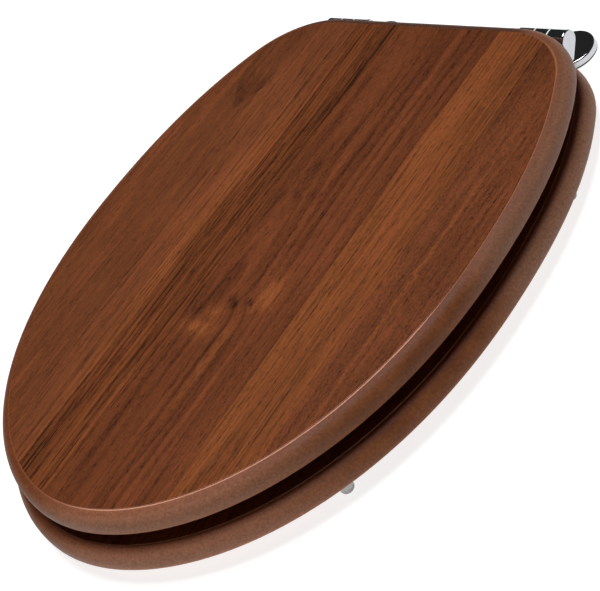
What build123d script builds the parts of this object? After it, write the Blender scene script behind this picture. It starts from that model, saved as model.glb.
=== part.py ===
from build123d import *
import os
from math import cos, radians, sin

# Wooden toilet seat: a veneered lid and a veneered ring on two chrome knuckle hinges.
# Millimetres. The origin lies midway between the two fixing holes, on the rim of the bowl.
# X runs to the right, Y to the rear and Z up. The lid and the ring are modelled closed.

# Lid board, seen from above
lid_length = 431.0
lid_width = 360.4
lid_thickness = 15.0
lid_widest_at = 197.5        # from the straight back edge to the widest place
lid_back_edge = 164.0        # straight length of the back edge
lid_back_corner = 73.5       # radius of the two rear corners
corner_end_angle = 27.3      # where the corner arc hands over to the side curve, degrees from +X
lid_setback = 22.2           # from the line of the fixing holes to the lid's back edge

# Shape of the side and front curves, as shares of the stretch that each one spans
side_rear_pull = 0.28
side_front_pull = 0.658
front_pull = 0.464

# Ring board
ring_overhang = 5.3          # how far the ring stands out beyond the lid all round
ring_forward = 3.6           # how far the ring sits forward of the lid
ring_thickness = 15.0
opening_width = 224.0
opening_front_depth = 152.0  # from the opening's widest place to its front
opening_rear_depth = 132.0   # from the opening's widest place to its rear
ring_front_band = 76.0

# Edges and veneer of both boards
top_round = 9.5
bottom_round = 3.4
edge_land = 0.5              # least upright stretch left between the two roundings
veneer_thickness = 0.6
veneer_edge = 0.25

# Rubber bumpers
ring_bumper_height = 10.5
ring_bumper_radius = 4.7
ring_bumper_dome = 3.3
ring_bumper_rear_x = 162.8
ring_bumper_rear_y = -123.1
ring_bumper_front_x = 145.4
ring_bumper_front_y = -355.5
lid_gap = 9.5                # clear height between ring and lid, taken up by the lid's bumpers
lid_bumper_radius = 6.0
lid_bumper_dome = 2.5
lid_bumper_rear_x = 126.0
lid_bumper_rear_y = -143.0
lid_bumper_front_x = 112.0
lid_bumper_front_y = -352.0
dome_limit = 0.9             # largest share of a foot's height or radius that its dome takes
bumper_stem_radius = 3.0
bumper_stem_length = 6.0
stem_clearance = 0.05

# Hinge position
fixing_spacing = 155.0
hinge_spacing = 181.4
axis_setback = 17.0          # from the line of the fixing holes to the hinge axis

# Hinge base
base_radius = 18.7
base_inset = 2.1             # from the middle of the post in to the middle of the base
base_draft = 1.0             # how much smaller the top of the base is, in radius
base_height = 4.2
base_round = 1.2
gasket_thickness = 1.5
gasket_inset = 0.6
fixing_hole_radius = 3.4     # core of an M8 thread
fixing_roof = 0.8            # metal left over the blind fixing hole
fixing_wall = 1.6            # least metal between the fixing hole and the rim of the base

# Hinge post, which stands on the base and leans forward to the axis
post_foot_offset = 5.2       # from the hinge axis back to the middle of the foot
post_foot_width = 10.6
post_foot_depth = 7.0
post_plinth = 2.3            # upright stretch above the base
post_lean = 6.3              # height of the leaning stretch
post_neck_offset = 0.4       # from the hinge axis back to the middle of the neck
post_neck_width = 9.6
post_neck_depth = 6.2
post_corner = 2.5
spigot_radius = 3.2
spigot_length = 2.4
spigot_clearance = 0.05
post_screw_radius = 2.0
post_screw_length = 5.4
post_screw_head_radius = 4.2
post_screw_head_height = 1.6
screw_clearance = 0.05

# Hinge barrel, on the common axis of lid and ring
knuckle_radius = 7.1
post_knuckle_length = 11.1
washer_thickness = 0.8
leaf_knuckle_length = 13.75
knuckle_edge = 0.4           # chamfer beside the washers
knuckle_end_round = 1.0
knuckle_end_wall = 2.4       # metal that closes the outer end of a leaf's bore
pin_radius = 3.0
pin_seat_clearance = 0.02
pin_running_clearance = 0.06
pin_end_gap = 0.2
side_gap = 0.05              # play between a knuckle and its washer

# Hinge leaves and their screws
leaf_thickness = 3.0
leaf_width = 24.0
leaf_length = 34.0
leaf_corner = 7.0
leaf_edge = 0.7
leaf_heel = 4.0              # overlap of the arm and the leaf
ring_leaf_setback = 7.0      # from the start of the ring's flat top to the leaf
leaf_screw_side = 6.5        # from the leaf's middle line to its two front screws
leaf_screw_margin = 7.0      # from the leaf's ends to its screws
web_angle = 45.0             # slope of the ring arm's underside
screw_shank_radius = 1.75
screw_head_radius = 3.6
screw_hole_radius = 2.1
screw_length = 12.0
screw_point = 2.5
sink_clearance = 0.1

# Levels and places that follow from the sizes above
ring_bottom = ring_bumper_height
ring_top = ring_bottom + ring_thickness
lid_bottom = ring_top + lid_gap
axis_y = -axis_setback
axis_z = ring_top + lid_gap / 2
lid_back_y = -lid_setback
ring_back_y = lid_back_y + ring_overhang - ring_forward
ring_length = lid_length + 2 * ring_overhang
ring_width = lid_width + 2 * ring_overhang
opening_widest_y = ring_back_y - ring_length + ring_front_band + opening_front_depth
lid_board_thickness = lid_thickness - veneer_thickness
ring_board_thickness = ring_thickness - veneer_thickness
lid_top_round = min(top_round, lid_board_thickness - bottom_round - edge_land)
ring_top_round = min(top_round, ring_board_thickness - bottom_round - edge_land)
hinge_x = hinge_spacing / 2
fixing_x = fixing_spacing / 2
base_x = hinge_x - base_inset
base_rim = max(base_radius, base_x - fixing_x + fixing_hole_radius + fixing_wall)
base_bottom = gasket_thickness
base_top = base_bottom + base_height
foot_y = axis_y + post_foot_offset
neck_y = axis_y + post_neck_offset
plinth_top = base_top + post_plinth
lean_top = plinth_top + post_lean
leaf_start = post_knuckle_length / 2 + washer_thickness + side_gap
leaf_end = leaf_start + leaf_knuckle_length
screw_head_height = screw_head_radius - screw_shank_radius

os.makedirs("parts", exist_ok=True)


def save(piece, label):
    piece.label = label
    export_step(piece, f"parts/{label}.step")


def save_pair(right_piece, label):
    """Write a right-hand hinge piece and its mirror image on the left."""
    with BuildPart() as left_piece:
        mirror(right_piece, about=Plane.YZ)
    save(right_piece, f"right_{label}")
    save(left_piece.part, f"left_{label}")


def board_half_outline(back_y, length, width, widest_at, back_edge, corner):
    """Right half of a board's outline, from the middle of its back edge to its front tip."""
    end_angle = radians(corner_end_angle)
    half_edge = back_edge / 2
    half_width = width / 2
    widest_y = back_y - widest_at
    front_y = back_y - length
    front_span = length - widest_at
    corner_centre = Vector(half_edge, back_y - corner)
    arc_end = corner_centre + Vector(cos(end_angle), sin(end_angle)) * corner
    arc_heading = Vector(sin(end_angle), -cos(end_angle))
    widest = Vector(half_width, widest_y)
    front = Vector(0, front_y)
    Line((0, back_y), (half_edge, back_y))
    CenterArc(corner_centre, corner, 90, corner_end_angle - 90)
    Bezier(
        arc_end,
        arc_end + arc_heading * (side_rear_pull * widest_at),
        widest + Vector(0, side_rear_pull * widest_at),
        widest,
    )
    Bezier(
        widest,
        widest - Vector(0, side_front_pull * front_span),
        front + Vector(front_pull * half_width, 0),
        front,
    )


def mirrored_places(front_x, front_y, rear_x, rear_y):
    """Four places, one pair towards the front and one towards the rear."""
    return [(s * x, y) for x, y in ((front_x, front_y), (rear_x, rear_y)) for s in (-1, 1)]


def leaf_screw_places(middle_x, rear_y):
    """Three screws in a triangle on a leaf that runs forward from rear_y."""
    front_row = rear_y - leaf_length + leaf_screw_margin
    rear_row = rear_y - leaf_screw_margin
    return [
        (middle_x - leaf_screw_side, front_row),
        (middle_x + leaf_screw_side, front_row),
        (middle_x, rear_row),
    ]


# Where the leaves of the right-hand hinge lie
lid_leaf_x = hinge_x - (leaf_start + leaf_end) / 2
ring_leaf_x = hinge_x + (leaf_start + leaf_end) / 2
lid_leaf_rear = lid_back_y - bottom_round
ring_leaf_rear = ring_back_y - ring_top_round - ring_leaf_setback
lid_screw_places = leaf_screw_places(lid_leaf_x, lid_leaf_rear)
ring_screw_places = leaf_screw_places(ring_leaf_x, ring_leaf_rear)
both_lid_screw_places = [(s * x, y) for x, y in lid_screw_places for s in (-1, 1)]
both_ring_screw_places = [(s * x, y) for x, y in ring_screw_places for s in (-1, 1)]
ring_bumper_places = mirrored_places(
    ring_bumper_front_x, ring_bumper_front_y, ring_bumper_rear_x, ring_bumper_rear_y
)
lid_bumper_places = mirrored_places(
    lid_bumper_front_x, lid_bumper_front_y, lid_bumper_rear_x, lid_bumper_rear_y
)
pilot_radius = screw_shank_radius + screw_clearance
pilot_depth = screw_length - leaf_thickness + screw_clearance
socket_radius = bumper_stem_radius + stem_clearance
socket_depth = bumper_stem_length + stem_clearance


# Lid board: one panel with a full rounding on top and a small one below
with BuildPart() as lid_board:
    with BuildSketch(Plane.XY.offset(lid_bottom)):
        with BuildLine():
            board_half_outline(
                lid_back_y, lid_length, lid_width, lid_widest_at, lid_back_edge, lid_back_corner
            )
            mirror(about=Plane.YZ)
        make_face()
    extrude(amount=lid_board_thickness)
    fillet(lid_board.edges().group_by(Axis.Z)[-1], lid_top_round)
    fillet(lid_board.edges().group_by(Axis.Z)[0], bottom_round)
    lid_top_face = lid_board.faces().sort_by(Axis.Z)[-1]
    for place in both_lid_screw_places:
        with Locations(Plane((*place, lid_bottom), z_dir=(0, 0, -1))):
            Hole(pilot_radius, pilot_depth)
    for place in lid_bumper_places:
        with Locations(Plane((*place, lid_bottom), z_dir=(0, 0, -1))):
            Hole(socket_radius, socket_depth)
save(lid_board.part, "lid_board")

# Lid veneer: the sheet on the flat of the lid, its edge eased
with BuildPart() as lid_veneer:
    extrude(lid_top_face, amount=veneer_thickness)
    fillet(lid_veneer.edges().group_by(Axis.Z)[-1], veneer_edge)
save(lid_veneer.part, "lid_veneer")

# Ring board: the same outline, larger all round, with an egg-shaped opening
with BuildPart() as ring_board:
    with BuildSketch(Plane.XY.offset(ring_bottom)):
        with BuildLine():
            board_half_outline(
                ring_back_y,
                ring_length,
                ring_width,
                lid_widest_at + ring_overhang,
                lid_back_edge,
                lid_back_corner + ring_overhang,
            )
            mirror(about=Plane.YZ)
        make_face()
        with BuildLine():
            for start_angle, depth in ((0, opening_rear_depth), (180, opening_front_depth)):
                EllipticalCenterArc(
                    (0, opening_widest_y),
                    opening_width / 2,
                    depth,
                    start_angle=start_angle,
                    arc_size=180,
                )
        make_face(mode=Mode.SUBTRACT)
    extrude(amount=ring_board_thickness)
    fillet(ring_board.edges().group_by(Axis.Z)[-1], ring_top_round)
    fillet(ring_board.edges().group_by(Axis.Z)[0], bottom_round)
    ring_top_face = ring_board.faces().sort_by(Axis.Z)[-1]
    for place in ring_bumper_places:
        with Locations(Plane((*place, ring_bottom), z_dir=(0, 0, -1))):
            Hole(socket_radius, socket_depth)
    for place in both_ring_screw_places:
        with Locations((*place, ring_bottom + ring_board_thickness)):
            Hole(pilot_radius, pilot_depth - veneer_thickness)
save(ring_board.part, "ring_board")

# Ring veneer, drilled where the hinge screws pass through it
with BuildPart() as ring_veneer:
    extrude(ring_top_face, amount=veneer_thickness)
    fillet(ring_veneer.edges().group_by(Axis.Z)[-1], veneer_edge)
    for place in both_ring_screw_places:
        with Locations((*place, ring_top)):
            Hole(pilot_radius, 2 * veneer_thickness)
save(ring_veneer.part, "ring_veneer")


def bumper(places, seat_z, height, radius, dome):
    """Domed rubber feet under a board, each with a stem pressed into it."""
    with BuildPart() as feet:
        with BuildSketch(Plane.XY.offset(seat_z - height)):
            with Locations(places):
                Circle(radius)
        extrude(amount=height)
        fillet(feet.edges().group_by(Axis.Z)[0], min(dome, dome_limit * radius, dome_limit * height))
        with BuildSketch(Plane.XY.offset(seat_z)):
            with Locations(places):
                Circle(bumper_stem_radius)
        extrude(amount=bumper_stem_length)
    return feet.part


save(
    bumper(
        ring_bumper_places, ring_bottom, ring_bumper_height, ring_bumper_radius, ring_bumper_dome
    ),
    "ring_bumpers",
)
save(
    bumper(lid_bumper_places, lid_bottom, lid_gap, lid_bumper_radius, lid_bumper_dome),
    "lid_bumpers",
)


# Gasket between the hinge base and the bowl
with BuildPart() as gasket:
    with BuildSketch(Plane.XY):
        with Locations((base_x, 0)):
            Circle(base_rim - gasket_inset)
        with Locations((fixing_x, 0)):
            Circle(fixing_hole_radius, mode=Mode.SUBTRACT)
    extrude(amount=gasket_thickness)
save_pair(gasket.part, "base_gasket")

# Hinge base: a round foot whose fixing hole lies off its centre
spigot_hole_radius = spigot_radius + spigot_clearance
head_pocket_radius = post_screw_head_radius + screw_clearance
head_pocket_depth = base_height - spigot_length
with BuildPart() as base:
    with Locations((base_x, 0, base_bottom)):
        Cone(
            base_rim,
            base_rim - base_draft,
            base_height,
            align=(Align.CENTER, Align.CENTER, Align.MIN),
        )
    fillet(base.edges().group_by(Axis.Z)[-1], base_round)
    with Locations(Plane((fixing_x, 0, base_bottom), z_dir=(0, 0, -1))):
        Hole(fixing_hole_radius, base_height - fixing_roof)
    with Locations(Plane((hinge_x, foot_y, base_bottom), z_dir=(0, 0, -1))):
        CounterBoreHole(spigot_hole_radius, head_pocket_radius, head_pocket_depth)
save_pair(base.part, "hinge_base")

# Hinge post: a cranked pillar with the middle knuckle of the barrel on top
post_sections = [
    (base_top, foot_y, post_foot_width, post_foot_depth),
    (plinth_top, foot_y, post_foot_width, post_foot_depth),
    (lean_top, neck_y, post_neck_width, post_neck_depth),
    (axis_z, neck_y, post_neck_width, post_neck_depth),
]
with BuildPart() as post:
    for level, middle_y, width, depth in post_sections:
        with BuildSketch(Plane.XY.offset(level)):
            with Locations((hinge_x, middle_y)):
                RectangleRounded(width, depth, post_corner)
    loft(ruled=True)
    with BuildSketch(Plane.YZ.offset(hinge_x - post_knuckle_length / 2)):
        with Locations((axis_y, axis_z)):
            Circle(knuckle_radius)
    extrude(amount=post_knuckle_length)
    for knuckle_end in (0, -1):
        chamfer(post.edges().group_by(Axis.X)[knuckle_end], knuckle_edge)
    with BuildSketch(Plane.YZ.offset(hinge_x - post_knuckle_length / 2)):
        with Locations((axis_y, axis_z)):
            Circle(pin_radius + pin_seat_clearance)
    extrude(amount=post_knuckle_length, mode=Mode.SUBTRACT)
    with BuildSketch(Plane.XY.offset(base_top - spigot_length)):
        with Locations((hinge_x, foot_y)):
            Circle(spigot_radius)
    extrude(amount=spigot_length)
    with Locations(Plane((hinge_x, foot_y, base_top - spigot_length), z_dir=(0, 0, -1))):
        Hole(post_screw_radius + screw_clearance, post_screw_length + screw_clearance)
save_pair(post.part, "hinge_post")

# Screw that clamps the post to the base from below
with BuildPart() as post_screw:
    with BuildSketch(Plane.XY.offset(base_top - spigot_length)):
        with Locations((hinge_x, foot_y)):
            Circle(post_screw_radius)
    extrude(amount=post_screw_length)
    with BuildSketch(Plane.XY.offset(base_top - spigot_length)):
        with Locations((hinge_x, foot_y)):
            Circle(post_screw_head_radius)
    extrude(amount=-post_screw_head_height)
save_pair(post_screw.part, "post_screw")

# Hinge pin, held in the post and running in both leaves
bore_depth = leaf_knuckle_length - knuckle_end_wall
pin_half_length = leaf_start + bore_depth - pin_end_gap
with BuildPart() as pin:
    with BuildSketch(Plane.YZ.offset(hinge_x - pin_half_length)):
        with Locations((axis_y, axis_z)):
            Circle(pin_radius)
    extrude(amount=2 * pin_half_length)
save_pair(pin.part, "hinge_pin")

# Washers between the knuckles
with BuildPart() as washers:
    for inner_face in (-post_knuckle_length / 2 - washer_thickness, post_knuckle_length / 2):
        with BuildSketch(Plane.YZ.offset(hinge_x + inner_face)):
            with Locations((axis_y, axis_z)):
                Circle(knuckle_radius)
                Circle(pin_radius + pin_running_clearance, mode=Mode.SUBTRACT)
        extrude(amount=washer_thickness)
save_pair(washers.part, "knuckle_washers")


def leaf_plate(middle_x, rear_y, seat_z, outward):
    """Flat leaf that lies on a board at seat_z, its outer edges eased."""
    with BuildPart() as plate:
        with BuildSketch(Plane.XY.offset(seat_z)):
            with Locations((middle_x, rear_y - leaf_length / 2)):
                RectangleRounded(leaf_width, leaf_length, leaf_corner)
        extrude(amount=outward * leaf_thickness)
        outer_face = plate.faces().sort_by(Axis.Z)[-1 if outward > 0 else 0]
        fillet(outer_face.edges(), leaf_edge)
    return plate.part


# Ring leaf: outer knuckle, and an arm that follows the ring's rounded rear edge to a leaf on top
web = radians(web_angle)
web_tangent = Vector(axis_y, axis_z) + Vector(sin(web), -cos(web)) * knuckle_radius
web_run = (web_tangent.X - ring_back_y) / cos(web)
web_end = web_tangent - Vector(cos(web), sin(web)) * web_run
ring_leaf_top = ring_top + leaf_thickness
ring_plate = leaf_plate(ring_leaf_x, ring_leaf_rear, ring_top, 1)
with BuildPart() as ring_leaf:
    with BuildSketch(Plane.YZ.offset(hinge_x + leaf_start)):
        with Locations((axis_y, axis_z)):
            Circle(knuckle_radius)
    extrude(amount=leaf_knuckle_length)
    chamfer(ring_leaf.edges().group_by(Axis.X)[0], knuckle_edge)
    with BuildSketch(Plane.YZ.offset(hinge_x + leaf_start + knuckle_edge)):
        with BuildLine():
            Polyline(
                (axis_y, axis_z),
                (axis_y, ring_leaf_top),
                (ring_leaf_rear - leaf_heel, ring_leaf_top),
                (ring_leaf_rear - leaf_heel, web_end.Y),
                web_end,
                web_tangent,
                close=True,
            )
        make_face()
    extrude(amount=leaf_knuckle_length - knuckle_edge)
    outer_end = ring_leaf.faces().sort_by(Axis.X)[-1]
    fillet(outer_end.edges(), knuckle_end_round)
    add([ring_board.part, ring_veneer.part], mode=Mode.SUBTRACT)
    with BuildSketch(Plane.YZ.offset(hinge_x + leaf_start)):
        with Locations((axis_y, axis_z)):
            Circle(pin_radius + pin_running_clearance)
    extrude(amount=bore_depth, mode=Mode.SUBTRACT)
    add(ring_plate)
    for place in ring_screw_places:
        with Locations((*place, ring_leaf_top)):
            CounterSinkHole(
                screw_hole_radius,
                screw_head_radius + sink_clearance,
                counter_sink_angle=90,
            )
save_pair(ring_leaf.part, "ring_leaf")

# Lid leaf: inner knuckle, and a leaf under the lid
lid_leaf_bottom = lid_bottom - leaf_thickness
lid_plate = leaf_plate(lid_leaf_x, lid_leaf_rear, lid_bottom, -1)
with BuildPart() as lid_leaf:
    with BuildSketch(Plane.YZ.offset(hinge_x - leaf_end)):
        with Locations((axis_y, axis_z)):
            Circle(knuckle_radius)
    extrude(amount=leaf_knuckle_length)
    chamfer(lid_leaf.edges().group_by(Axis.X)[-1], knuckle_edge)
    with BuildSketch(Plane.YZ.offset(hinge_x - leaf_end)):
        with BuildLine():
            Polyline(
                (lid_leaf_rear - leaf_heel, lid_leaf_bottom),
                (axis_y, lid_leaf_bottom),
                (axis_y, lid_bottom),
                (lid_leaf_rear - leaf_heel, lid_bottom),
                close=True,
            )
        make_face()
    extrude(amount=leaf_knuckle_length - knuckle_edge)
    outer_end = lid_leaf.faces().sort_by(Axis.X)[0]
    fillet(outer_end.edges(), knuckle_end_round)
    with BuildSketch(Plane.YZ.offset(hinge_x - leaf_start)):
        with Locations((axis_y, axis_z)):
            Circle(pin_radius + pin_running_clearance)
    extrude(amount=-bore_depth, mode=Mode.SUBTRACT)
    add(lid_plate)
    for place in lid_screw_places:
        with Locations(Plane((*place, lid_leaf_bottom), z_dir=(0, 0, -1))):
            CounterSinkHole(
                screw_hole_radius,
                screw_head_radius + sink_clearance,
                counter_sink_angle=90,
            )
save_pair(lid_leaf.part, "lid_leaf")


def leaf_screws(places, head_z, direction):
    """Countersunk wood screws whose heads lie flush at head_z."""
    stem_length = screw_length - screw_head_height - screw_point
    profile = [
        (0, 0),
        (screw_head_radius, 0),
        (screw_shank_radius, screw_head_height),
        (screw_shank_radius, screw_head_height + stem_length),
        (0, screw_length),
    ]
    with BuildPart() as screws:
        for place in places:
            axis_plane = Plane((*place, head_z), x_dir=(1, 0, 0), z_dir=(0, -direction, 0))
            with BuildSketch(axis_plane):
                with BuildLine():
                    Polyline(*profile, close=True)
                make_face()
            revolve(axis=Axis((*place, head_z), (0, 0, 1)))
    return screws.part


save_pair(leaf_screws(lid_screw_places, lid_leaf_bottom, 1), "lid_leaf_screws")
save_pair(leaf_screws(ring_screw_places, ring_leaf_top, -1), "ring_leaf_screws")
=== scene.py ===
import math

import bmesh
import bpy
from mathutils import Matrix, Vector


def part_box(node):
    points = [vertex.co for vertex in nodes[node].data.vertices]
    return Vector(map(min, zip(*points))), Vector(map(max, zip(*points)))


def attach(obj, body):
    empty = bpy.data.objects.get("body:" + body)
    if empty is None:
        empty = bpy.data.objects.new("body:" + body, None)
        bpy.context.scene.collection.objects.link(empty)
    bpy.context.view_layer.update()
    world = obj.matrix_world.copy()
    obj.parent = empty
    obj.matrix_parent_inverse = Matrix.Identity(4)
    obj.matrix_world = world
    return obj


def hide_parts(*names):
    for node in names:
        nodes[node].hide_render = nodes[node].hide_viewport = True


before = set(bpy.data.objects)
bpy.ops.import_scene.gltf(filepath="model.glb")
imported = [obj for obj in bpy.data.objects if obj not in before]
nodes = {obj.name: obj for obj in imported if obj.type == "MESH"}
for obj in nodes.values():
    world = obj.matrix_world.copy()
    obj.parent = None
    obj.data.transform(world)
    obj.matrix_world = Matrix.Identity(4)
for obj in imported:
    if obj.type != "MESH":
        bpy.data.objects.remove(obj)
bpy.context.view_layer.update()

# Wooden toilet seat: finishes for the veneer, the stained boards, the chrome hinges, the rubber and the
# fasteners, with painted highlight, sheen and shade on the wood, screws with a cross recess, the studio
# and the camera. Lengths are in metres, and in millimetres where they belong to a material.

sides = ("left", "right")
mm = 0.001

# Camera, as the photograph was taken
camera_place = Vector((0.78478, -0.63970, 0.65769))
camera_aim = Vector((0.04010, -0.25170, 0.02730))
camera_up = Vector((-0.15434, 0.74952, 0.64374))
focal_length_px = 1659.1
image_width_px = 600
sensor_width_mm = 36.0

# Studio
floor_half = 8.0
floor_glow = 0.82
lamp_place = Vector((-0.2, 0.15, 2.6))
lamp_aim = Vector((0.0, -0.24, 0.03))
lamp_size = 1.5
lamp_watts = 80
room_shade = (0.03, 0.03, 0.03, 1.0)
backdrop_shade = (0.96, 0.96, 0.96, 1.0)

# Screen colours, 0 to 255
red_streak = (134, 72, 42)
flame_colour = (150, 85, 45)
edge_light = (129, 75, 42)
edge_dark = (113, 64, 36)
# Painted sheen on the edges: paler at the right front, greyer towards the rear
edge_front_sheen = (162, 110, 84)
edge_rear_sheen = (136, 95, 74)
# Pink of the painted highlight on the veneer's cut edge at the right front; the brown is the line
# elsewhere
highlight_pink = (222, 160, 132)
line_brown = (172, 102, 58)
chrome_colour = (188, 190, 193)
steel_colour = (190, 192, 194)
rubber_colour = (208, 208, 206)
gasket_colour = (26, 26, 27)
nylon_colour = (246, 246, 246)
floor_colour = (170, 170, 170)

# The wood's tones are those of the photograph, where paper is brighter than white by this factor
studio_level = 1.2

# The veneer's planks, from left to right, in millimetres. start is where a plank begins halfway along
# the seat, and lean how far that seam shifts per millimetre towards the rear. pith_x, depth and slope
# say where the heart of its tree lay below the surface, and spacing is the distance between growth
# rings. rings, lines, bands and flecks are the strengths of its markings.
seat_middle_y = -230.0
planks = [
    dict(start=-200, lean=0.0, tone=(101, 56, 32), pith_x=-420, depth=0.0, slope=0.02, spacing=9.0,
         rings=0.08, lines=0.34, bands=0.14, flecks=0.20),
    dict(start=-94, lean=-0.022, tone=(112, 62, 36), pith_x=-420, depth=0.0, slope=0.02, spacing=6.5,
         rings=0.14, lines=0.58, bands=0.18, flecks=0.12),
    dict(start=-57, lean=0.0, tone=(113, 61, 32), pith_x=-300, depth=0.0, slope=0.02, spacing=3.9,
         rings=0.52, lines=0.84, bands=0.28, flecks=0.14),
    dict(start=-15, lean=-0.008, tone=(107, 57, 32), pith_x=1.0, depth=12.2, slope=0.13, spacing=8.2,
         rings=0.50, lines=0.24, bands=0.26, flecks=0.28),
    dict(start=74, lean=-0.011, tone=(123, 68, 36), pith_x=-300, depth=0.0, slope=-0.02, spacing=3.1,
         rings=0.40, lines=0.56, bands=0.12, flecks=0.18),
    dict(start=119, lean=-0.030, tone=(107, 58, 33), pith_x=520, depth=30.0, slope=0.05, spacing=8.0,
         rings=0.18, lines=0.36, bands=0.18, flecks=0.44),
]
least_depth, most_depth = 4.0, 20.0
knots = [(18.0, -281.0), (33.0, -280.0)]
knot_size = 9.0
knot_bend = 4.0

# How the rings wander along the grain: size of the waves, and how far they go in millimetres or rings
sway_cell, sway_reach = (40, 150, 40), 9.0
uneven_cell, uneven_rings = (14, 120, 14), 1.4

# Markings drawn by noise: size across, along and through the grain in millimetres, and the noise
# levels between which a marking comes up
bands_look = dict(cell=(7, 240, 9), low=0.40, high=0.64)
lines_look = dict(cell=(1.7, 130, 9), low=0.38, high=0.68, detail=3.0, roughness=0.6)
breaks_look = dict(cell=(3, 26, 5), low=0.34, high=0.66, faint=0.5, full=1.25)
pores_look = dict(cell=(0.8, 6, 4), low=0.54, high=0.68)
flecks_look = dict(cell=(0.8, 2.0, 3), low=0.36, high=0.70)
streaks_look = dict(cell=(10, 70, 11), low=0.48, high=0.70, detail=3.0)
mottle_look = dict(cell=(22, 50, 26), low=0.30, high=0.70, faint=0.94, full=1.06, detail=3.0)
pore_strength = 0.46
streak_strength = 0.35

# Brightness of wood without markings, and of the darkest place, as shares of the plank's tone; painted
# shade darkens the veneer a little towards the rear
clear_wood, darkest_wood = 1.52, 0.2
rear_shade_start, rear_shade_end, rear_shade = -130.0, -20.0, 0.84

# Dark tongue in the first plank: its tip, how fast it opens towards the rear and how wide it gets;
# where its dark filling ends, over what length it fades, and how dark filling and outline are
tongue_x, tongue_tip_y, tongue_open, tongue_half_width = -117.0, -124.0, 0.55, 15.5
tongue_fill_y, tongue_fade = -92.0, 9.0
tongue_fill, tongue_outline = 0.34, 0.18

# Soft strokes that single out a place in the figure: x, y, half width, half length, strength. Their
# outlines are ragged by waves of these sizes and reaches.
ragged_x_cell, ragged_x_reach = (4, 9, 5), 7.0
ragged_y_cell, ragged_y_reach = (3, 7, 4), 10.0
light_strokes = [
    (-62.0, -250.0, 6.0, 130.0, 0.45),
    (82.0, -270.0, 9.0, 170.0, 0.24),
    (42.0, -270.0, 8.0, 12.0, 0.78),
    (4.0, -305.0, 13.0, 6.0, 0.80),
    (9.0, -291.0, 6.0, 5.0, 0.55),
    (33.0, -328.0, 4.0, 34.0, 0.60),
    (12.0, -195.0, 3.0, 40.0, 0.26),
    (140.0, -235.0, 1.2, 90.0, 0.46),
]
dark_strokes = [
    (-27.0, -90.0, 9.0, 60.0, 0.22),
    (-25.0, -200.0, 8.0, 70.0, 0.28),
    (-26.0, -310.0, 8.0, 40.0, 0.24),
    (2.0, -166.0, 5.0, 22.0, 0.38),
    (-8.0, -215.0, 6.0, 26.0, 0.18),
    (-9.0, -285.0, 5.0, 16.0, 0.28),
    (15.5, -279.0, 2.6, 4.0, 0.72),
    (20.5, -284.0, 2.6, 3.4, 0.70),
    (33.0, -279.5, 3.2, 3.4, 0.62),
    (26.0, -262.0, 2.2, 12.0, 0.22),
    (42.0, -335.0, 3.0, 34.0, 0.24),
    (-3.0, -390.0, 4.0, 44.0, 0.22),
    (71.0, -210.0, 4.0, 40.0, 0.20),
    (24.0, -315.0, 3.0, 18.0, 0.18),
]

# Pale line where the veneer's edge is cut, partly a painted highlight: the side where the painted
# highlight is clearest, and the line's strength elsewhere on the left and on the right; it lies between
# these depths below the top of the veneer or the board
highlight_side_x, highlight_side_y = 0.67, -0.74
highlight_facing = (0.66, 0.86)
line_left, line_right = 0.30, 0.55
line_turn_x, line_end_y = (-40.0, 40.0), (-34.0, -46.0)
veneer_line_start, veneer_line_end = 0.02, 0.08
board_line_start, board_line_end = 0.07, 0.11

# Stained edges of the boards, with painted light on them: greyer towards the rear as a painted sheen,
# paler at the right front as a painted sheen, darker and redder next to the veneer as painted shade, by
# shares of red, green and blue, and painted shade along the top of the straight rear side. Each change
# goes from none to full over a range of x, y or depth below the board's top.
greyer_y, greyer_most = (-250.0, -195.0), 0.8
paler_y, paler_x = (-315.0, -435.0), (-50.0, 30.0)
upper_shade_depth, upper_shade_share = (2.4, 0.2), (0.80, 0.64, 0.54)
rear_rim_y, rear_rim_x = (-44.0, -32.0), (100.0, 80.0)
rear_rim_depth, rear_rim_shade = (4.5, 2.0), 0.6

# The two boards: how far the planks are shifted sideways, whether the veneer has the figure above, how
# strong the pale line and its painted highlight are, and how much painted light brightens the stained
# edges; the ring's edges are painted brighter to make up for the shade under the lid, and its line
# fainter as it lies in that shade
boards = {
    "lid": dict(shift=0.0, figured=True, line=1.0, level=1.0),
    "ring": dict(shift=31.0, figured=False, line=0.3, level=1.12),
}

# Countersunk wood screws of the hinge leaves
screw_sides = 48
screw_head_radius = 3.6 * mm
screw_shank_radius = 1.75 * mm
screw_point = 2.5 * mm
screw_rim_round = 0.2 * mm
recess_reach, recess_half_width = 2.0 * mm, 0.48 * mm
recess_floor_reach, recess_floor_half_width = 1.15 * mm, 0.34 * mm
recess_depth, recess_tip_depth = 1.1 * mm, 1.5 * mm
turn_between_screws = math.radians(37)


def linear_colour(screen, level=1.0):
    """Linear RGBA of a screen colour from 0 to 255, as it is under light of the given level."""
    shares = [value / 255 for value in screen]
    linear = [s / 12.92 if s <= 0.04045 else ((s + 0.055) / 1.055) ** 2.4 for s in shares]
    return [value / level for value in linear] + [1.0]


def wood_colour(screen):
    return linear_colour(screen, studio_level)


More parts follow.
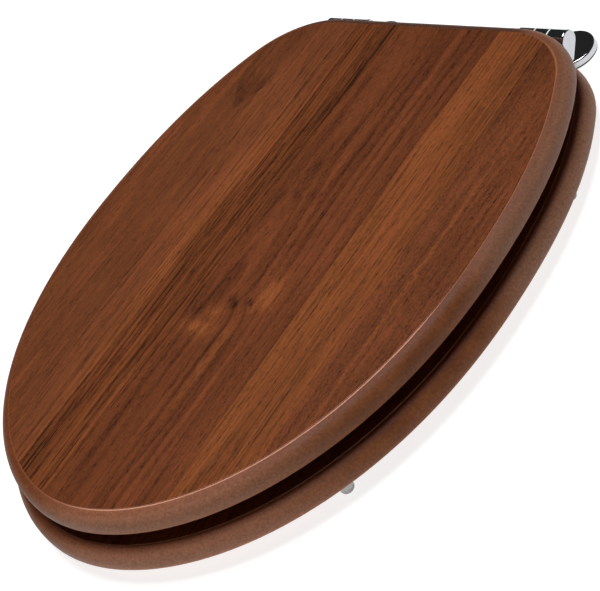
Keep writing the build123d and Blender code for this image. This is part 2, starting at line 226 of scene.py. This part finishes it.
class Tree:
    """Node tree of one new material, with short calls for the nodes that the finishes use."""

    def __init__(self, name):
        self.material = bpy.data.materials.new(name)
        self.material.use_nodes = True
        self.nodes = self.material.node_tree.nodes
        self.links = self.material.node_tree.links
        self.shader = self.nodes["Principled BSDF"]

    def put(self, value, socket):
        """Feed a socket from another node, or set it to a constant."""
        if isinstance(value, bpy.types.NodeSocket):
            self.links.new(value, socket)
        else:
            socket.default_value = value

    def set(self, **inputs):
        """Set or link the shader's own inputs, spaces in their names written as underscores."""
        for name, value in inputs.items():
            self.put(value, self.shader.inputs[name.replace("_", " ")])

    def position(self):
        """Place on the object in millimetres, fixed to the object however it is posed."""
        place = self.nodes.new("ShaderNodeTexCoord").outputs["Object"]
        return self.scale(place, (1 / mm, 1 / mm, 1 / mm))

    def scale(self, vector, factors):
        node = self.nodes.new("ShaderNodeVectorMath")
        node.operation = "MULTIPLY"
        self.put(vector, node.inputs[0])
        self.put(factors, node.inputs[1])
        return node.outputs["Vector"]

    def split(self, vector):
        node = self.nodes.new("ShaderNodeSeparateXYZ")
        self.put(vector, node.inputs[0])
        return node.outputs

    def math(self, operation, first, second=0.0, third=0.0):
        node = self.nodes.new("ShaderNodeMath")
        node.operation = operation
        for socket, value in zip(node.inputs, (first, second, third)):
            self.put(value, socket)
        return node.outputs[0]

    def join(self, x, y, z=0.0):
        node = self.nodes.new("ShaderNodeCombineXYZ")
        for socket, value in zip(node.inputs, (x, y, z)):
            self.put(value, socket)
        return node.outputs[0]

    def length(self, x, y):
        node = self.nodes.new("ShaderNodeVectorMath")
        node.operation = "LENGTH"
        self.links.new(self.join(x, y), node.inputs[0])
        return node.outputs["Value"]

    def noise(self, vector, cell, detail=2.0, roughness=0.5):
        """Noise from 0 to 1 whose cells measure cell, in millimetres along X, Y and Z."""
        node = self.nodes.new("ShaderNodeTexNoise")
        self.put(self.scale(vector, [1 / size for size in cell]), node.inputs["Vector"])
        node.inputs["Scale"].default_value = 1.0
        node.inputs["Detail"].default_value = detail
        node.inputs["Roughness"].default_value = roughness
        return node.outputs["Fac"]

    def span(self, value, low, high, to_low=0.0, to_high=1.0):
        """Map low..high smoothly to to_low..to_high and hold the ends."""
        node = self.nodes.new("ShaderNodeMapRange")
        node.interpolation_type = "SMOOTHSTEP"
        for name, number in (
            ("Value", value),
            ("From Min", low),
            ("From Max", high),
            ("To Min", to_low),
            ("To Max", to_high),
        ):
            self.put(number, node.inputs[name])
        return node.outputs["Result"]

    def marking(self, vector, cell, low, high, faint=0.0, full=1.0, detail=2.0, roughness=0.5):
        """Marking that comes up from faint to full where the noise goes from low to high."""
        return self.span(self.noise(vector, cell, detail, roughness), low, high, faint, full)

    def mix(self, factor, first, second):
        """Colour between two others."""
        node = self.nodes.new("ShaderNodeMix")
        node.data_type = "RGBA"
        colour_a, colour_b, colour_result = 6, 7, 2
        self.put(factor, node.inputs["Factor"])
        self.put(first, node.inputs[colour_a])
        self.put(second, node.inputs[colour_b])
        return node.outputs[colour_result]

    def shade(self, colour, factor):
        """Multiply a colour by one number."""
        node = self.nodes.new("ShaderNodeVectorMath")
        node.operation = "SCALE"
        self.put(colour[:3] if isinstance(colour, list) else colour, node.inputs[0])
        self.put(factor, node.inputs["Scale"])
        return node.outputs["Vector"]

    def bump(self, height, depth):
        """Surface relief; depth is the height in millimetres of a full step."""
        node = self.nodes.new("ShaderNodeBump")
        node.inputs["Distance"].default_value = depth * mm
        self.put(height, node.inputs["Height"])
        self.put(node.outputs["Normal"], self.shader.inputs["Normal"])


def stroke_sum(tree, x, y, strokes):
    """Sum of soft oval strokes over the veneer."""
    total = 0.0
    for stroke_x, stroke_y, half_width, half_length, strength in strokes:
        across = tree.math("DIVIDE", tree.math("SUBTRACT", x, stroke_x), half_width)
        along = tree.math("DIVIDE", tree.math("SUBTRACT", y, stroke_y), half_length)
        reach = tree.math("POWER", tree.length(across, along), 2.0)
        fall = tree.math("EXPONENT", tree.math("MULTIPLY", reach, -1.0))
        total = tree.math("MULTIPLY_ADD", fall, strength, total)
    return total


def tongue(tree, x, y):
    """Darkness of the tongue: filled towards its tip, and outlined behind that."""
    opening = tree.math("MULTIPLY", tree.math("SUBTRACT", y, tongue_tip_y), tongue_open)
    half_width = tree.math("MINIMUM", opening, tongue_half_width)
    off_middle = tree.math("ABSOLUTE", tree.math("SUBTRACT", x, tongue_x))
    inside = tree.math("SUBTRACT", half_width, off_middle)
    near_tip = tree.span(y, tongue_fill_y + tongue_fade, tongue_fill_y - tongue_fade)
    filled = tree.math("MULTIPLY", tree.span(inside, -2.5, 4.0), near_tip)
    rim = tree.math("MULTIPLY", tree.span(inside, -1.5, 0.0), tree.span(inside, 3.0, 0.5))
    return tree.math("MULTIPLY_ADD", filled, tongue_fill, tree.math("MULTIPLY", rim, tongue_outline))


def waved(tree, place, value, cell, reach):
    """Value shifted to and fro by noise, reach from one end to the other."""
    least = tree.math("SUBTRACT", value, reach / 2)
    return tree.math("MULTIPLY_ADD", tree.noise(place, cell), reach, least)


def edge_line_and_highlight(tree, colour, place, where, strength):
    """Pale line along the veneer's cut edge with a painted highlight, clear at the right front, faint
    elsewhere and missing at the rear.
    """
    x, y, _ = tree.split(place)
    along = tree.math("SUBTRACT", y, seat_middle_y)
    facing = tree.math("MULTIPLY_ADD", x, highlight_side_x, tree.math("MULTIPLY", along, highlight_side_y))
    facing = tree.math("DIVIDE", facing, tree.length(x, along))
    # Painted highlight, strongest where the edge faces the right front
    clear = tree.span(facing, *highlight_facing)
    faint = tree.span(x, *line_turn_x, line_left, line_right)
    faint = tree.math("MULTIPLY", faint, tree.span(y, *line_end_y))
    tint = tree.mix(clear, wood_colour(line_brown), wood_colour(highlight_pink))
    amount = tree.math("MULTIPLY", tree.math("MAXIMUM", clear, faint), strength)
    return tree.mix(tree.math("MULTIPLY", where, amount), colour, tint)


def veneer_material(name, top_z, shift, figured, line):
    """Walnut veneer laid in planks along the seat, each with its own cut and figure, and painted a
    little darker towards the rear as shade.
    """
    tree = Tree(name)
    place = tree.position()
    x, y, z = tree.split(place)
    if shift:
        x = tree.math("ADD", x, shift)
    along = tree.math("SUBTRACT", y, seat_middle_y)
    beyond = []
    for plank in planks[1:]:
        seam = tree.math("MULTIPLY_ADD", along, plank["lean"], plank["start"])
        beyond.append(tree.math("GREATER_THAN", x, seam))

    def by_plank(key):
        value = planks[0][key]
        for step, before, after in zip(beyond, planks, planks[1:]):
            value = tree.math("MULTIPLY_ADD", step, after[key] - before[key], value)
        return value

    tone = wood_colour(planks[0]["tone"])
    for step, plank in zip(beyond, planks[1:]):
        tone = tree.mix(step, tone, wood_colour(plank["tone"]))

    # Growth rings: distance from the heart of the tree, bent a little along the plank
    swayed = waved(tree, place, x, sway_cell, sway_reach)
    across = tree.math("SUBTRACT", swayed, by_plank("pith_x"))
    depth = tree.math("MULTIPLY_ADD", along, by_plank("slope"), by_plank("depth"))
    depth = tree.math("MINIMUM", tree.math("MAXIMUM", depth, least_depth), most_depth)
    heart = tree.length(across, depth)
    if figured:
        bend = stroke_sum(tree, x, y, [(*knot, knot_size, knot_size, knot_bend) for knot in knots])
        heart = tree.math("ADD", heart, bend)
    uneven = tree.math("MULTIPLY", tree.noise(place, uneven_cell), uneven_rings)
    turn = tree.math("ADD", tree.math("DIVIDE", heart, by_plank("spacing")), uneven)
    saw = tree.math("FRACT", turn)
    late_wood = tree.math("MULTIPLY", tree.math("POWER", saw, 2.0), tree.span(saw, 1.0, 0.84))

    # Bands and lines that follow the rings, with pores and flecks, all drawn out along the grain
    flow = tree.join(heart, y, z)
    bands = tree.marking(flow, **bands_look)
    lines = tree.math("MULTIPLY", tree.marking(flow, **lines_look), tree.marking(place, **breaks_look))
    pores = tree.marking(place, **pores_look)
    flecks = tree.marking(place, **flecks_look)
    streaks = tree.marking(place, **streaks_look)
    mottle = tree.marking(place, **mottle_look)

    dark = tree.math("MULTIPLY", late_wood, by_plank("rings"))
    dark = tree.math("MULTIPLY_ADD", lines, by_plank("lines"), dark)
    dark = tree.math("MULTIPLY_ADD", bands, by_plank("bands"), dark)
    dark = tree.math("MULTIPLY_ADD", flecks, by_plank("flecks"), dark)
    dark = tree.math("MULTIPLY_ADD", pores, pore_strength, dark)
    colour = tree.mix(tree.math("MULTIPLY", streaks, streak_strength), tone, wood_colour(red_streak))
    if figured:
        ragged_x = waved(tree, place, x, ragged_x_cell, ragged_x_reach)
        ragged_y = waved(tree, place, y, ragged_y_cell, ragged_y_reach)
        dark = tree.math("ADD", dark, stroke_sum(tree, ragged_x, ragged_y, dark_strokes))
        dark = tree.math("ADD", dark, tongue(tree, ragged_x, ragged_y))
        flame = tree.math("MINIMUM", stroke_sum(tree, ragged_x, ragged_y, light_strokes), 1.0)
        colour = tree.mix(flame, colour, wood_colour(flame_colour))
    light = tree.math("MAXIMUM", tree.math("SUBTRACT", clear_wood, dark), darkest_wood)
    # Painted shade, a little darker towards the rear
    light = tree.math("MULTIPLY", light, tree.span(y, rear_shade_start, rear_shade_end, 1.0, rear_shade))
    colour = tree.shade(colour, tree.math("MULTIPLY", light, mottle))
    on_edge = tree.span(z, top_z - veneer_line_start, top_z - veneer_line_end)
    tree.set(
        Base_Color=edge_line_and_highlight(tree, colour, place, on_edge, line),
        Roughness=tree.math("MULTIPLY_ADD", dark, 0.08, 0.26),
        Specular_IOR_Level=0.12,
    )
    tree.bump(tree.math("ADD", pores, tree.math("MULTIPLY", lines, 0.4)), -0.02)
    return tree.material


def board_material(name, top_z, line, level):
    """Brown stained edge of a board that the veneer meets at top_z, with painted sheen at the rear and
    the right front and painted shade along its top.
    """
    tree = Tree(name)
    place = tree.position()
    x, y, z = tree.split(place)
    depth = tree.math("SUBTRACT", top_z, z)
    cloud = tree.marking(place, cell=(24, 24, 12), low=0.30, high=0.70, detail=4.0, roughness=0.6)
    grain = tree.noise(place, (1.7, 1.7, 1.7), 4.0, 0.7)
    colour = tree.mix(cloud, wood_colour(edge_dark), wood_colour(edge_light))
    # Painted sheen, greyer towards the rear
    colour = tree.mix(tree.span(y, *greyer_y, 0.0, greyer_most), colour, wood_colour(edge_rear_sheen))
    # Painted sheen, paler at the right front
    paler = tree.math("MULTIPLY", tree.span(y, *paler_y), tree.span(x, *paler_x))
    colour = tree.mix(paler, colour, wood_colour(edge_front_sheen))
    # Painted shade, darker and redder along the top of the edge next to the veneer
    colour = tree.mix(tree.span(depth, *upper_shade_depth), colour, tree.scale(colour, upper_shade_share))
    # Painted shade along the top of the straight rear side
    rim_shade_mask = tree.math("MULTIPLY", tree.span(y, *rear_rim_y), tree.span(x, *rear_rim_x))
    rim_shade_mask = tree.math("MULTIPLY", rim_shade_mask, tree.span(depth, *rear_rim_depth))
    colour = tree.shade(colour, tree.math("MULTIPLY_ADD", rim_shade_mask, -rear_rim_shade, 1.0))
    # Fine grain; level is painted light, higher on the ring to make up for the shade under the lid
    colour = tree.shade(colour, tree.span(grain, 0.25, 0.75, 0.76 * level, 1.28 * level))
    on_edge = tree.span(depth, board_line_end, board_line_start)
    tree.set(
        Base_Color=edge_line_and_highlight(tree, colour, place, on_edge, line),
        Roughness=tree.span(cloud, 0.0, 1.0, 0.50, 0.58),
        Specular_IOR_Level=0.18,
    )
    tree.bump(grain, 0.02)
    return tree.material


def chrome_material():
    """Polished chrome plate with faint smears."""
    tree = Tree("chrome_plate")
    smear = tree.noise(tree.position(), (6, 3, 9), 4.0, 0.6)
    tree.set(
        Base_Color=tree.shade(linear_colour(chrome_colour), tree.span(smear, 0.3, 0.7, 0.94, 1.0)),
        Metallic=1.0,
        Roughness=tree.span(smear, 0.35, 0.75, 0.04, 0.075),
    )
    return tree.material


def steel_material():
    """Bright zinc plate, finely spangled."""
    tree = Tree("zinc_steel")
    spangle = tree.noise(tree.position(), (0.8, 0.8, 0.8), 3.0, 0.6)
    tree.set(
        Base_Color=tree.shade(linear_colour(steel_colour), tree.span(spangle, 0.3, 0.7, 0.82, 1.05)),
        Metallic=1.0,
        Roughness=tree.span(spangle, 0.3, 0.7, 0.22, 0.36),
    )
    tree.bump(spangle, 0.003)
    return tree.material


def rubber_material(name, screen, see_through, rough):
    """Moulded rubber with a fine skin."""
    tree = Tree(name)
    place = tree.position()
    skin = tree.noise(place, (0.5, 0.5, 0.5))
    cloud = tree.noise(place, (4, 4, 4))
    tree.set(
        Base_Color=tree.shade(linear_colour(screen), tree.span(cloud, 0.3, 0.7, 0.88, 1.06)),
        Roughness=tree.span(skin, 0.3, 0.7, rough, rough + 0.12),
        Transmission_Weight=see_through,
        IOR=1.45,
    )
    tree.bump(skin, 0.015)
    return tree.material


def nylon_material():
    """Natural nylon."""
    tree = Tree("nylon_natural")
    cloud = tree.noise(tree.position(), (2, 2, 2), 3.0)
    tree.set(
        Base_Color=tree.shade(linear_colour(nylon_colour), tree.span(cloud, 0.3, 0.7, 0.92, 1.02)),
        Roughness=tree.span(cloud, 0.3, 0.7, 0.35, 0.48),
    )
    return tree.material


def floor_material():
    """White table, lit from below as well, so that shadows stay pale."""
    tree = Tree("studio_paper")
    fibre = tree.noise(tree.position(), (30, 30, 30), 3.0)
    tree.set(
        Base_Color=tree.shade(linear_colour(floor_colour), tree.span(fibre, 0.2, 0.8, 0.99, 1.0)),
        Roughness=0.9,
        Specular_IOR_Level=0.1,
        Emission_Color=(1.0, 1.0, 1.0, 1.0),
        Emission_Strength=floor_glow,
    )
    return tree.material


def paint(node_name, material):
    nodes[node_name].material_slots[0].material = material


def node_top(node_name):
    """Height of a piece's top, in millimetres."""
    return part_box(node_name)[1].z / mm


# Finishes of the construction's own pieces
chrome = chrome_material()
steel = steel_material()
nylon = nylon_material()
clear_rubber = rubber_material("clear_rubber", rubber_colour, see_through=0.55, rough=0.16)
black_rubber = rubber_material("black_rubber", gasket_colour, see_through=0.0, rough=0.62)
for part_name, look in boards.items():
    veneer, board = f"{part_name}_veneer", f"{part_name}_board"
    walnut = veneer_material(
        f"{part_name}_walnut", node_top(veneer), look["shift"], look["figured"], look["line"]
    )
    paint(veneer, walnut)
    paint(board, board_material(f"{part_name}_stain_and_painted_light", node_top(board), look["line"], look["level"]))
    paint(f"{part_name}_bumpers", clear_rubber)
for side in sides:
    for piece in ("hinge_base", "hinge_post", "ring_leaf", "lid_leaf"):
        paint(f"{side}_{piece}", chrome)
    for piece in ("hinge_pin", "post_screw"):
        paint(f"{side}_{piece}", steel)
    paint(f"{side}_base_gasket", black_rubber)
    paint(f"{side}_knuckle_washers", nylon)


def cross_outline(reach, half_width):
    """Corners of an upright cross round the origin, in order."""
    arm = [Vector((reach, -half_width)), Vector((reach, half_width)), Vector((half_width, half_width))]
    return [Matrix.Rotation(quarter * math.pi / 2, 2) @ corner for quarter in range(4) for corner in arm]


def circle_outline(radius):
    angles = [2 * math.pi * step / screw_sides for step in range(screw_sides)]
    return [Vector((radius * math.cos(angle), radius * math.sin(angle))) for angle in angles]


def add_screw(mesh, place, inward, length, turn):
    """One screw: place is the middle of its face, inward +1 or -1 the way it was driven along Z."""

    def loop(outline, depth):
        turned = [Matrix.Rotation(turn, 2) @ corner for corner in outline]
        return [mesh.verts.new(place + Vector((*corner, inward * depth))) for corner in turned]

    def rim(corners):
        return [mesh.edges.get(pair) for pair in zip(corners, corners[1:] + corners[:1])]

    def wall(first, second):
        for a, b, c, d in zip(first, first[1:] + first[:1], second[1:] + second[:1], second):
            mesh.faces.new((a, b, c, d))

    def close(corners, depth):
        tip = mesh.verts.new(place + Vector((0, 0, inward * depth)))
        for a, b in zip(corners, corners[1:] + corners[:1]):
            mesh.faces.new((a, b, tip))

    face_rim = loop(circle_outline(screw_head_radius - 2 * screw_rim_round), 0)
    widest = loop(circle_outline(screw_head_radius - screw_rim_round), screw_rim_round)
    neck = loop(circle_outline(screw_shank_radius), screw_head_radius - screw_shank_radius)
    stem_end = loop(circle_outline(screw_shank_radius), length - screw_point)
    wall(face_rim, widest)
    wall(widest, neck)
    wall(neck, stem_end)
    close(stem_end, length)
    recess_rim = loop(cross_outline(recess_reach, recess_half_width), 0)
    recess_floor = loop(cross_outline(recess_floor_reach, recess_floor_half_width), recess_depth)
    wall(recess_rim, recess_floor)
    close(recess_floor, recess_tip_depth)
    bmesh.ops.triangle_fill(mesh, edges=rim(face_rim) + rim(recess_rim), use_beauty=True)


def leaf_screws(side, body, inward):
    """The three screws of one leaf, two abreast at its front and one at its rear."""
    node_name = f"{side}_{body}_leaf_screws"
    low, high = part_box(node_name)
    face_z = low.z if inward > 0 else high.z
    front_y = low.y + screw_head_radius
    places = [
        Vector((low.x + screw_head_radius, front_y, face_z)),
        Vector((high.x - screw_head_radius, front_y, face_z)),
        Vector(((low.x + high.x) / 2, high.y - screw_head_radius, face_z)),
    ]
    mesh = bmesh.new()
    for index, place in enumerate(places):
        add_screw(mesh, place, inward, high.z - low.z, index * turn_between_screws)
    bmesh.ops.recalc_face_normals(mesh, faces=mesh.faces)
    data = bpy.data.meshes.new(f"{side}_{body}_cross_screws")
    mesh.to_mesh(data)
    mesh.free()
    data.materials.append(steel)
    screws = bpy.data.objects.new(data.name, data)
    bpy.context.collection.objects.link(screws)
    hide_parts(node_name)
    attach(screws, body)


for side in sides:
    leaf_screws(side, "lid", 1)
    leaf_screws(side, "ring", -1)

# Floor
floor_mesh = bpy.data.meshes.new("floor")
corners = [(-1, -1), (1, -1), (1, 1), (-1, 1)]
floor_mesh.from_pydata([(floor_half * x, floor_half * y, 0) for x, y in corners], [], [(0, 1, 2, 3)])
floor_mesh.materials.append(floor_material())
floor = bpy.data.objects.new("floor", floor_mesh)
bpy.context.collection.objects.link(floor)

# Soft box overhead, in a dark room with a pale backdrop
lamp = bpy.data.lights.new("overhead_box", "AREA")
lamp.shape = "SQUARE"
lamp.size = lamp_size
lamp.energy = lamp_watts
soft_box = bpy.data.objects.new("overhead_box", lamp)
soft_box.location = lamp_place
soft_box.rotation_euler = (lamp_aim - lamp_place).to_track_quat("-Z", "Y").to_euler()
bpy.context.collection.objects.link(soft_box)

world = bpy.data.worlds.new("studio")
world.use_nodes = True
world_nodes = world.node_tree.nodes
world_links = world.node_tree.links
dark_room = world_nodes["Background"]
dark_room.inputs["Color"].default_value = room_shade
backdrop = world_nodes.new("ShaderNodeBackground")
backdrop.inputs["Color"].default_value = backdrop_shade
seen = world_nodes.new("ShaderNodeLightPath")
either = world_nodes.new("ShaderNodeMixShader")
world_links.new(seen.outputs["Is Camera Ray"], either.inputs[0])
world_links.new(dark_room.outputs[0], either.inputs[1])
world_links.new(backdrop.outputs[0], either.inputs[2])
world_links.new(either.outputs[0], world_nodes["World Output"].inputs["Surface"])
bpy.context.scene.world = world
bpy.context.scene.view_settings.view_transform = "Standard"

# Camera
lens = bpy.data.cameras.new("camera")
lens.sensor_fit = "HORIZONTAL"
lens.sensor_width = sensor_width_mm
lens.lens = focal_length_px / image_width_px * sensor_width_mm
camera = bpy.data.objects.new("camera", lens)
bpy.context.collection.objects.link(camera)
back_axis = (camera_place - camera_aim).normalized()
right_axis = camera_up.cross(back_axis).normalized()
up_axis = back_axis.cross(right_axis)
turn_matrix = Matrix((right_axis, up_axis, back_axis)).transposed().to_4x4()
camera.matrix_world = Matrix.Translation(camera_place) @ turn_matrix
bpy.context.scene.camera = camera
